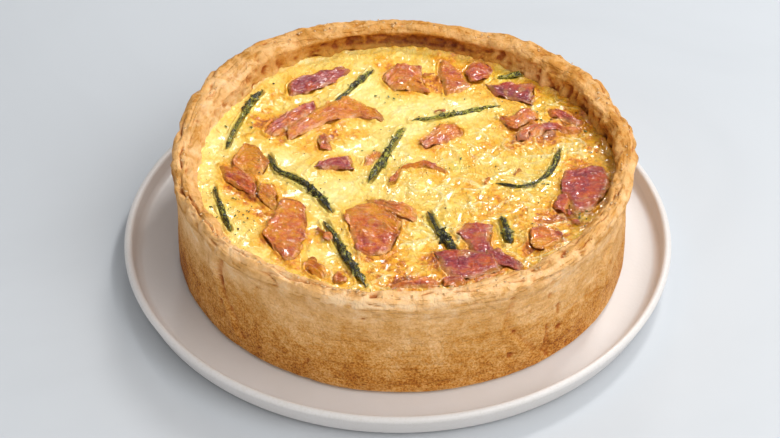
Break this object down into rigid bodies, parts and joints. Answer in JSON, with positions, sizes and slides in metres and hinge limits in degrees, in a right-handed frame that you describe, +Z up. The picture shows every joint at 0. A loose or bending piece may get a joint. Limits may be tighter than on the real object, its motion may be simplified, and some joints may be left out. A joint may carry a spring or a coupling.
{
  "type": "quiche on a plate",
  "caption": "Deep round quiche with ham slices and asparagus baked into its custard, standing on a shallow round serving plate.",
  "frame": {"origin": "middle of the plate's underside, on the surface it stands on", "axes": "+Z up through the quiche; -Y is the side towards the camera in the picture, +X is its right"},
  "size_m": [0.281, 0.281, 0.0688],
  "materials": {
    "plate_glaze": "satin off-white stoneware glaze",
    "pastry": "baked golden pastry, dry and matte",
    "custard": "baked egg and cheese, moist, browned in patches",
    "ham": "baked dry-cured ham, oily and slightly translucent",
    "asparagus": "baked asparagus, dark green with oily highlights"
  },
  "bodies": {
    "root": {"asparagus_back_left": "asparagus", "asparagus_back_right": "asparagus", "asparagus_far_left": "asparagus", "asparagus_front_left": "asparagus", "asparagus_front_right": "asparagus", "asparagus_left": "asparagus", "asparagus_middle_long": "asparagus", "asparagus_middle_tip": "asparagus", "asparagus_right": "asparagus", "asparagus_right_tip": "asparagus", "asparagus_rim_left": "asparagus", "crust": "pastry", "custard": "custard", "ham_back_left_dark": "ham", "ham_back_orange": "ham", "ham_back_pink": "ham", "ham_back_right_purple": "ham", "ham_back_striped": "ham", "ham_far_left_flap": "ham", "ham_far_left_red": "ham", "ham_far_left_tail": "ham", "ham_far_right_sliver": "ham", "ham_far_right_tab": "ham", "ham_far_right_wide": "ham", "ham_front_crumple": "ham", "ham_front_edge": "ham", "ham_front_left_knot": "ham", "ham_front_left_scrap": "ham", "ham_front_left_wide": "ham", "ham_front_ribbon": "ham", "ham_front_right_arm": "ham", "ham_front_right_fan": "ham", "ham_front_right_lobe": "ham", "ham_front_wide": "ham", "ham_left_arch": "ham", "ham_left_curl": "ham", "ham_left_sunken": "ham", "ham_middle_arc": "ham", "ham_middle_back": "ham", "ham_middle_fold": "ham", "ham_middle_purple": "ham", "ham_right_band": "ham", "ham_right_corner": "ham", "ham_right_curl": "ham", "ham_right_swirl": "ham", "plate": "plate_glaze"}
  },
  "joints": []
}
